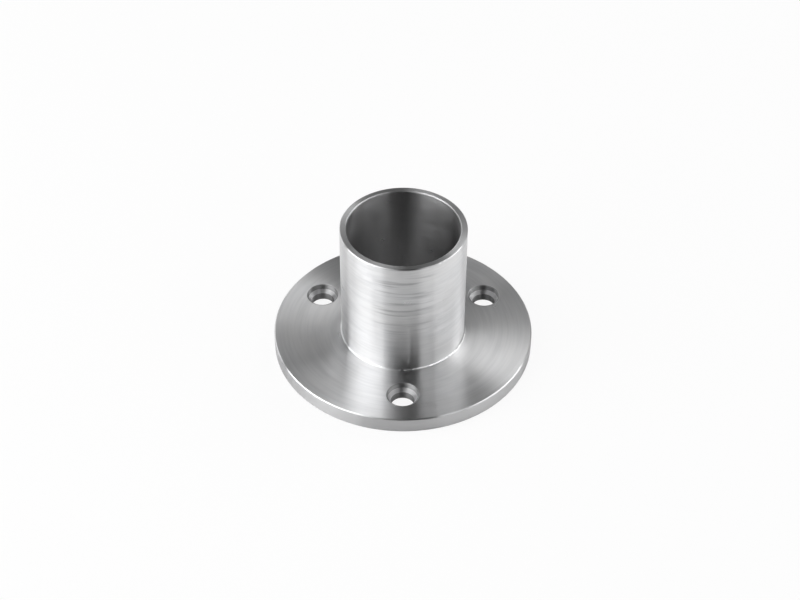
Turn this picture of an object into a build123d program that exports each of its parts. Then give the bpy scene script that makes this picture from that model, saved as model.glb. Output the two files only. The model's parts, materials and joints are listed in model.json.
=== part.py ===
from build123d import *
import os

# Tube clamp base flange: one turned piece of stainless steel, a round flange with an
# upright socket for a handrail tube and three stepped screw holes.  Millimetres.
# The origin is the centre of the flange underside and +Z runs up the socket axis.

# --- driving sizes ---------------------------------------------------------------
flange_d = 100.0            # outside diameter of the flange
flange_t = 6.5              # flange thickness
flange_edge_break = 0.4     # chamfer round the flange's upper and lower edges

tube_d = 42.4               # handrail tube that stands in the socket
tube_clearance = 0.3        # play of that tube in the bore, on the diameter
socket_wall = 2.5           # wall of the socket
overall_h = 57.0            # underside of the flange to the socket rim
root_r = 0.6                # fillet between the socket and the flange face
rim_break = 0.3             # chamfer round the outside of the rim
mouth_lead = 0.4            # lead-in chamfer at the mouth of the bore
foot_break = 0.5            # chamfer where the bore meets the underside

screw_count = 3             # screw holes, evenly spaced
first_screw_angle = 270.0   # the first hole lies on -Y
screw_d = 9.0               # through hole
seat_d = 11.4               # straight recess above it
seat_depth = 2.0            # flange face to the end of the straight recess
seat_cone_angle = 90.0      # full angle of the cone from the recess to the through hole
seat_lip_width = 0.5        # shallow dressed lip round the recess, across the face
seat_lip_depth = 0.25       # and down into the recess
screw_foot_break = 0.2      # chamfer where a screw hole meets the underside

# --- sizes that follow -------------------------------------------------------------
flange_r = flange_d / 2
bore_r = (tube_d + tube_clearance) / 2
socket_r = bore_r + socket_wall
screw_circle_r = (flange_r + socket_r) / 2      # midway across the open flange face


def corner(section, radius, height):
    """The corner of the turned section at this radius and height."""
    return section.vertices().sort_by_distance((radius, height))[0]


with BuildPart() as base_flange:
    # flange and socket are one section, turned about the socket axis
    with BuildSketch(Plane.XZ) as section:
        with BuildLine():
            Polyline(
                (bore_r, 0),
                (flange_r, 0),
                (flange_r, flange_t),
                (socket_r, flange_t),
                (socket_r, overall_h),
                (bore_r, overall_h),
                close=True,
            )
        make_face()
        fillet(corner(section, socket_r, flange_t), root_r)
        chamfer(corner(section, flange_r, flange_t), flange_edge_break)
        chamfer(corner(section, flange_r, 0), flange_edge_break)
        chamfer(corner(section, socket_r, overall_h), rim_break)
        chamfer(corner(section, bore_r, overall_h), mouth_lead)
        chamfer(corner(section, bore_r, 0), foot_break)
    revolve(axis=Axis.Z)

    # each screw hole is a countersunk hole sunk to the end of its straight recess
    with Locations((0, 0, flange_t - seat_depth)):
        with PolarLocations(screw_circle_r, screw_count, start_angle=first_screw_angle):
            CounterSinkHole(screw_d / 2, seat_d / 2, counter_sink_angle=seat_cone_angle)

    # dressed lips on the flange face, the middle one of the three level faces
    flange_face = faces().filter_by(Plane.XY).sort_by(Axis.Z)[1]
    seat_mouths = flange_face.edges().group_by(SortBy.RADIUS)[0]
    chamfer(seat_mouths, seat_lip_width, seat_lip_depth, reference=flange_face)

    # broken edges on the underside, the lowest of them
    underside = faces().filter_by(Plane.XY).sort_by(Axis.Z)[0]
    screw_feet = underside.edges().group_by(SortBy.RADIUS)[0]
    chamfer(screw_feet, screw_foot_break)

base_flange.part.label = "base_flange"
os.makedirs("parts", exist_ok=True)
export_step(base_flange.part, "parts/base_flange.step")
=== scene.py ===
"""Studio scene of the tube clamp base flange: brushed stainless steel on a white table."""
import json
from math import cos, radians, sin

import bpy
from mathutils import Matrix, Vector

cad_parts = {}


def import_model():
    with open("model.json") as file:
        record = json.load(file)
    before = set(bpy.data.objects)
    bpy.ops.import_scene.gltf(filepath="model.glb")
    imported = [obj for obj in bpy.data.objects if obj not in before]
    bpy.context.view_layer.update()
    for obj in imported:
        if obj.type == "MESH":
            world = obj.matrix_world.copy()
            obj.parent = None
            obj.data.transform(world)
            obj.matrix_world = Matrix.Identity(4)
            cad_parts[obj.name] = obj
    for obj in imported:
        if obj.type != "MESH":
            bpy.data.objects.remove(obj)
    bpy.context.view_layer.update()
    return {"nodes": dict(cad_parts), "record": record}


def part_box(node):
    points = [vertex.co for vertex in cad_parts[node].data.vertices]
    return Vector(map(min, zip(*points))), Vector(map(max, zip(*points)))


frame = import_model()

# --- the part's places, in millimetres, as the marks on its steel are measured ------------
MM = 0.001
(low, high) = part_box("base_flange")
mounts = {mount["name"]: mount["dims"] for mount in frame["record"]["mounts"]}
screws = mounts["screw_holes"]
flange_r = high[0] / MM
overall_h = high[2] / MM
bore_r = mounts["tube_socket"]["r_mm"]
mouth_lead = 0.4                 # chamfer at the mouth of the bore
screw_r = screws["hole_r_mm"]
screw_circle_r = screws["pcd_mm"] / 2
screw_angles = [radians(270 + 360 * screw / screws["count"]) for screw in range(screws["count"])]
flange_t = 6.5                   # thickness of the flange
seat_r = 5.7                     # straight recess above a screw hole
seat_depth = 2.0
seat_lip_width = 0.5             # dressed lip round the recess
seat_mouth_r = seat_r + seat_lip_width
seat_top_z = flange_t - seat_depth
seat_foot_z = seat_top_z - (seat_r - screw_r)      # a cone of 90 degrees is as deep as it is wide

# --- the studio, in metres and degrees ----------------------------------------------------
studio_centre = Vector((0, 0, 0.02))   # the point that all the cards face
world_level = 0.03                     # grey of the world between the cards
table_size = 6
table_gap = 0.0002                     # keeps the table's face off the part's
table_white = 0.9                      # colour of the table's paper
table_glow = 0.9                       # share of the table that glows, while the rest takes the shadow
table_in_metal = 0.45                  # how much of that glow the metal shows
footprint_edge = 1.1                   # the metal shows it in full from this many radii of the flange

# Each card's name, azimuth, elevation, distance, width, height, glow, and the share that fades out.
cards = (
    ("left_low", -67, 7, 1.0, 1.45, 0.50, 3.7, 0.12),
    ("left_key", -64, 5, 0.95, 0.75, 0.40, 3.0, 0.7),
    ("left_middle", -68, 36, 1.0, 1.45, 0.50, 2.3, 0.12),
    ("left_high", -67, 60, 1.0, 1.30, 0.45, 1.2, 0.2),
    ("left_back", -127, 14, 1.0, 0.80, 0.60, 1.5, 0.3),
    ("right_low", 78, 8, 1.0, 1.20, 0.47, 3.1, 0.15),
    ("right_middle", 87, 34, 1.0, 1.05, 0.47, 1.3, 0.15),
    ("right_high", 75, 60, 1.0, 1.10, 0.45, 0.3, 0.2),
    ("right_front", 39, 20, 1.0, 0.38, 0.80, 1.6, 0.2),
    ("back_wall", 180, 42, 1.0, 1.60, 0.60, 0.34, 0.5),
    ("back_right", 133, 42, 1.0, 0.50, 0.60, 3.0, 0.4),
    ("back_left", -155, 25, 1.0, 0.40, 0.40, 0.8, 0.4),
    ("top", -120, 76, 1.0, 0.50, 0.40, 1.9, 0.4),
)

# The photo's view, found from the outlines of the flange and of the socket's rim.
camera_lens = 79.6
camera_sensor = 36
camera_target = Vector((-0.0012, 0, 0.0207))
camera_distance = 0.6792
camera_elevation = radians(42.38)
camera_roll = radians(-0.21)


class Nodes:
    """Short hands for building a node tree."""

    def __init__(self, tree):
        self.tree = tree

    def add(self, kind, **settings):
        node = self.tree.nodes.new(kind)
        for name, value in settings.items():
            setattr(node, name, value)
        return node

    def feed(self, socket, value):
        """Links a socket to another, or sets it."""
        if isinstance(value, bpy.types.NodeSocket):
            self.tree.links.new(value, socket)
        else:
            socket.default_value = value

    def work(self, node, values):
        """Feeds these values to a node's first sockets, and gives its first output."""
        for socket, value in zip(node.inputs, values):
            self.feed(socket, value)
        return node.outputs[0]

    def math(self, operation, *values):
        return self.work(self.add("ShaderNodeMath", operation=operation), values)

    def plus(self, a, b):
        return self.math("ADD", a, b)

    def minus(self, a, b):
        return self.math("SUBTRACT", a, b)

    def times(self, a, b):
        return self.math("MULTIPLY", a, b)

    def vector(self, operation, *values):
        """Does vector maths that gives a vector."""
        return self.work(self.add("ShaderNodeVectorMath", operation=operation), values)

    def measure(self, operation, *values):
        """Does vector maths that gives a number."""
        node = self.add("ShaderNodeVectorMath", operation=operation)
        self.work(node, values)
        return node.outputs["Value"]

    def join(self, x, y, z):
        return self.work(self.add("ShaderNodeCombineXYZ"), (x, y, z))

    def split(self, vector):
        node = self.add("ShaderNodeSeparateXYZ")
        self.feed(node.inputs[0], vector)
        return node.outputs

    def own_place(self):
        """The place on the object, in its own coordinates."""
        return self.add("ShaderNodeTexCoord").outputs["Object"]

    def step(self, value, start, end, first=0.0, last=1.0):
        """Goes smoothly from first to last as the value goes from start to end."""
        node = self.add("ShaderNodeMapRange", interpolation_type="SMOOTHSTEP")
        return self.work(node, (value, start, end, first, last))

    def over(self, value, level, blur=0.05):
        """Is 1 over this level and 0 under it, and changes within the blur on both sides of it."""
        return self.step(value, level - blur, level + blur)

    def under(self, value, level, blur=0.05):
        """Is 1 under this level and 0 over it, and changes within the blur on both sides of it."""
        return self.step(value, level + blur, level - blur)

    def noise(self, vector, scale, detail, roughness=0.5):
        node = self.add("ShaderNodeTexNoise")
        self.feed(node.inputs["Vector"], vector)
        node.inputs["Scale"].default_value = scale
        node.inputs["Detail"].default_value = detail
        node.inputs["Roughness"].default_value = roughness
        return node.outputs["Fac"]

    def mix(self, factor, a, b):
        node = self.add("ShaderNodeMix", data_type="FLOAT")
        self.feed(node.inputs[0], factor)
        self.feed(node.inputs[2], a)
        self.feed(node.inputs[3], b)
        return node.outputs[0]

    def mix_colour(self, factor, a, b):
        node = self.add("ShaderNodeMix", data_type="RGBA")
        self.feed(node.inputs[0], factor)
        self.feed(node.inputs[6], a)
        self.feed(node.inputs[7], b)
        return node.outputs[2]

    def blend(self, kind, a, b):
        """Joins two shader nodes by a node of this kind, and gives that node."""
        node = self.add(kind)
        sockets = [socket for socket in node.inputs if socket.type == "SHADER"]
        self.feed(sockets[0], a.outputs[0])
        self.feed(sockets[1], b.outputs[0])
        return node


def new_material(name):
    """A material, the short hands for its nodes, and the socket that its surface goes to."""
    material = bpy.data.materials.new(name)
    material.use_nodes = True
    n = Nodes(material.node_tree)
    n.tree.nodes.clear()
    surface = n.add("ShaderNodeOutputMaterial").inputs["Surface"]
    return material, n, surface


def marked_axis(n, x, y):
    """The axis that the marks run round, which is a screw's inside its hole, and where the holes are."""
    axis_x, axis_y, in_hole = 0.0, 0.0, 0.0
    for angle in screw_angles:
        centre_x = screw_circle_r * cos(angle)
        centre_y = screw_circle_r * sin(angle)
        apart = n.measure("LENGTH", n.join(n.minus(x, centre_x), n.minus(y, centre_y), 0.0))
        inside = n.math("LESS_THAN", apart, seat_mouth_r)
        axis_x = n.mix(inside, axis_x, centre_x)
        axis_y = n.mix(inside, axis_y, centre_y)
        in_hole = n.math("MAXIMUM", in_hole, inside)
    return axis_x, axis_y, in_hole


def turned_steel():
    """Stainless steel off the lathe and the belt, with all its marks round an axis."""
    material, n, surface = new_material("turned_stainless")
    shader = n.add("ShaderNodeBsdfPrincipled")
    n.feed(surface, shader.outputs[0])
    shader.inputs["Metallic"].default_value = 1.0

    # A quarter turn stretches the highlights across the marks.
    shader.inputs["Anisotropic"].default_value = 1.0
    shader.inputs["Anisotropic Rotation"].default_value = 0.25

    place = n.vector("MULTIPLY", n.own_place(), (1 / MM, 1 / MM, 1 / MM))
    x, y, z = n.split(place)
    axis_x, axis_y, in_hole = marked_axis(n, x, y)
    from_axis = n.join(n.minus(x, axis_x), n.minus(y, axis_y), 0.0)
    outward = n.vector("NORMALIZE", from_axis)
    radius = n.measure("LENGTH", from_axis)
    n.feed(shader.inputs["Tangent"], n.vector("CROSS_PRODUCT", (0.0, 0.0, 1.0), outward))

    # Radius and height added up change across the marks on every face.
    across = n.plus(radius, z)

    def marks(pitch, length, detail, roughness=0.5):
        """Rings of this pitch in millimetres, broken into arcs of this length in radians."""
        around = n.vector("MULTIPLY", outward, (1 / length, 1 / length, 0.0))
        along = n.join(0.0, 0.0, n.times(across, 1 / pitch))
        return n.noise(n.vector("ADD", around, along), 1.0, detail, roughness)

    fine = marks(pitch=0.8, length=0.6, detail=1.0)
    coarse = marks(pitch=1.6, length=0.7, detail=1.0)
    belt = marks(pitch=2.2, length=1.1, detail=1.0)
    arcs = marks(pitch=2.0, length=0.5, detail=2.0)
    scratches = marks(pitch=1.7, length=1.0, detail=1.5, roughness=0.6)
    wandering = marks(pitch=6.0, length=0.3, detail=2.0)
    clouds = n.noise(place, scale=0.06, detail=3.0)
    few, many = 0.35, 0.65       # between these the noises do most of their changing

    # The belt's marks come in up the tube, and its dark streaks only on the front of it.
    belt_foot, belt_full = 20.0, 32.0
    brushed = n.step(z, belt_foot, belt_full)
    facing_front = n.measure("DOT_PRODUCT", outward, (0.0, -1.0, 0.0))
    front = n.times(brushed, n.step(facing_front, cos(radians(32)), cos(radians(10))))
    streaks = n.times(n.step(scratches, 0.50, 0.66), front)

    # Each kind of mark's depth in millimetres on turned and on brushed steel, less of it in the bore.
    depths = (
        (fine, 0.010, 0.016),
        (coarse, 0.018, 0.035),
        (belt, 0.0, 0.12),
    )
    bore_share = 0.35
    relief = 0.0
    for kind, turned_depth, brushed_depth in depths:
        relief = n.plus(relief, n.times(kind, n.mix(brushed, turned_depth, brushed_depth)))
    relief = n.times(relief, n.step(radius, bore_r + 0.1, bore_r + 0.3, bore_share, 1.0))
    bump = n.add("ShaderNodeBump")
    bump.inputs["Distance"].default_value = MM
    n.feed(bump.inputs["Height"], relief)
    n.feed(shader.inputs["Normal"], bump.outputs[0])

    # Faces with a roughness of their own, and faces whose colour is painted light or shade.
    lip = n.times(n.over(z, overall_h - mouth_lead), n.under(radius, bore_r + mouth_lead))
    rim_top = n.times(n.over(z, overall_h - 0.065, blur=0.035), n.over(radius, bore_r + mouth_lead))
    bore = n.times(n.under(radius, bore_r + 0.1), n.minus(1.0, in_hole))
    rim_side = n.over(radius, flange_r - 0.1)
    recess = n.times(in_hole, n.under(z, flange_t - 0.03, blur=0.02))
    seat = n.times(in_hole, n.under(z, seat_top_z + 0.075, blur=0.075))
    screw_bore = n.times(in_hole, n.under(z, seat_foot_z - 0.1, blur=0.1))

    # Roughness stays above about 0.27, since under it the render shows dark specks.
    smooth, rough, wander = 0.290, 0.315, 0.08
    gloss = n.plus(n.step(arcs, few, many, smooth, rough), n.times(n.minus(wandering, 0.5), wander))
    for face, roughness in ((lip, 0.55), (recess, 0.60)):
        gloss = n.mix(face, gloss, roughness)
    n.feed(shader.inputs["Roughness"], gloss)

    dull, bright = (0.635, 0.640, 0.648, 1), (0.708, 0.711, 0.718, 1)
    warm, warm_share = (0.66, 0.655, 0.65, 1), 0.35
    dark, dark_share = (0.40, 0.40, 0.41, 1), 0.75
    worn = n.plus(n.times(arcs, 0.6), n.times(fine, 0.4))
    colour = n.mix_colour(n.step(worn, few, many), dull, bright)
    colour = n.mix_colour(n.step(clouds, few, many, 0.0, warm_share), colour, warm)
    colour = n.mix_colour(n.times(streaks, dark_share), colour, dark)
    # Each face's grey below is painted light or shade, not a finish of the steel. The bore's mouth lip
    # (0.90) and the recess's cone seat (0.85) get painted highlights. The bore, the socket's top ring,
    # the flange's side, the recess wall and the screw hole's wall get painted shade.
    painted_share, blue = 0.9, 1.01
    painted_light_and_shade = (
        (lip, 0.90),
        (bore, 0.46),
        (rim_top, 0.52),
        (rim_side, 0.50),
        (recess, 0.36),
        (seat, 0.85),
        (screw_bore, 0.34),
    )
    for face, painted_grey in painted_light_and_shade:
        colour = n.mix_colour(n.times(face, painted_share), colour, (painted_grey, painted_grey, painted_grey * blue, 1))
    n.feed(shader.inputs["Base Color"], colour)
    return material


def table_material():
    """White paper that takes a faint shadow, with a glow for the camera and part of it for the metal."""
    material, n, surface = new_material("white_table")
    paper = n.add("ShaderNodeBsdfDiffuse")
    paper.inputs["Color"].default_value = (table_white, table_white, table_white, 1)
    glow = n.add("ShaderNodeEmission")
    path = n.add("ShaderNodeLightPath").outputs

    # The metal sees none of the glow from under the flange, where the part shades the table.
    flange_edge = flange_r * MM
    outside = n.step(n.measure("LENGTH", n.own_place()), flange_edge, flange_edge * footprint_edge)
    reflected = n.math("MAXIMUM", path["Is Glossy Ray"], path["Is Transmission Ray"])
    in_metal = n.times(n.times(reflected, outside), table_in_metal)
    seen = n.math("MAXIMUM", path["Is Camera Ray"], in_metal)
    mix = n.blend("ShaderNodeMixShader", paper, glow)
    n.feed(mix.inputs["Fac"], n.times(seen, table_glow))
    n.feed(surface, mix.outputs[0])
    return material


def card_material(name, width, height, glow, fade):
    """A glow that fades out towards the card's edges, over this share of it."""
    material, n, surface = new_material(name)
    place = n.split(n.own_place())
    across = n.step(n.math("ABSOLUTE", place["X"]), width / 2, width / 2 * (1 - fade))
    along = n.step(n.math("ABSOLUTE", place["Y"]), height / 2, height / 2 * (1 - fade))
    light = n.add("ShaderNodeEmission")
    n.feed(light.inputs["Strength"], n.times(n.times(across, along), glow))
    clear = n.add("ShaderNodeBsdfTransparent")
    n.feed(surface, n.blend("ShaderNodeAddShader", light, clear).outputs[0])
    return material


def plane(name, material, width, height):
    """A flat piece of the studio, which isn't part of the object."""
    mesh = bpy.data.meshes.new(name)
    x, y = width / 2, height / 2
    mesh.from_pydata([(-x, -y, 0), (x, -y, 0), (x, y, 0), (-x, y, 0)], [], [(0, 1, 2, 3)])
    mesh.materials.append(material)
    piece = bpy.data.objects.new(name, mesh)
    bpy.context.scene.collection.objects.link(piece)
    return piece


def aim(piece, place, target):
    """Puts a card or the camera at this place, facing the target."""
    piece.location = place
    piece.rotation_euler = (target - Vector(place)).to_track_quat("-Z", "Y").to_euler()


def around(azimuth, elevation, distance):
    """A place round the studio's centre, at azimuth 0 towards the camera and 90 to its right."""
    turn, tilt = radians(azimuth), radians(elevation)
    x = studio_centre.x + distance * cos(tilt) * sin(turn)
    y = studio_centre.y - distance * cos(tilt) * cos(turn)
    return (x, y, studio_centre.z + distance * sin(tilt))


def card(name, azimuth, elevation, distance, width, height, glow, fade):
    """A soft-edged light that lights the part and shows in its metal, but not to the camera."""
    piece = plane(name, card_material(name, width, height, glow, fade), width, height)
    piece.visible_camera = False
    aim(piece, around(azimuth, elevation, distance), studio_centre)


def table():
    """The white table just under the part."""
    piece = plane("table", table_material(), table_size, table_size)
    piece.location.z = low[2] - table_gap


def world():
    """The dark grey room round the studio."""
    studio = bpy.data.worlds.new("studio")
    bpy.context.scene.world = studio
    studio.use_nodes = True
    background = studio.node_tree.nodes["Background"]
    background.inputs["Color"].default_value = (world_level, world_level, world_level, 1)


def camera():
    """The camera, in front of the part and looking down on it."""
    data = bpy.data.cameras.new("camera")
    data.lens = camera_lens
    data.sensor_width = camera_sensor
    piece = bpy.data.objects.new("camera", data)
    bpy.context.scene.collection.objects.link(piece)
    away = camera_distance * cos(camera_elevation)
    above = camera_distance * sin(camera_elevation)
    aim(piece, (0, -away, camera_target.z + above), camera_target)
    piece.rotation_euler.rotate_axis("Z", -camera_roll)
    bpy.context.scene.camera = piece


steel = turned_steel()
for node in frame["nodes"].values():
    for material_slot in node.material_slots:
        material_slot.material = steel

table()
world()
for row in cards:
    card(*row)
camera()
bpy.context.scene.view_settings.view_transform = "Standard"
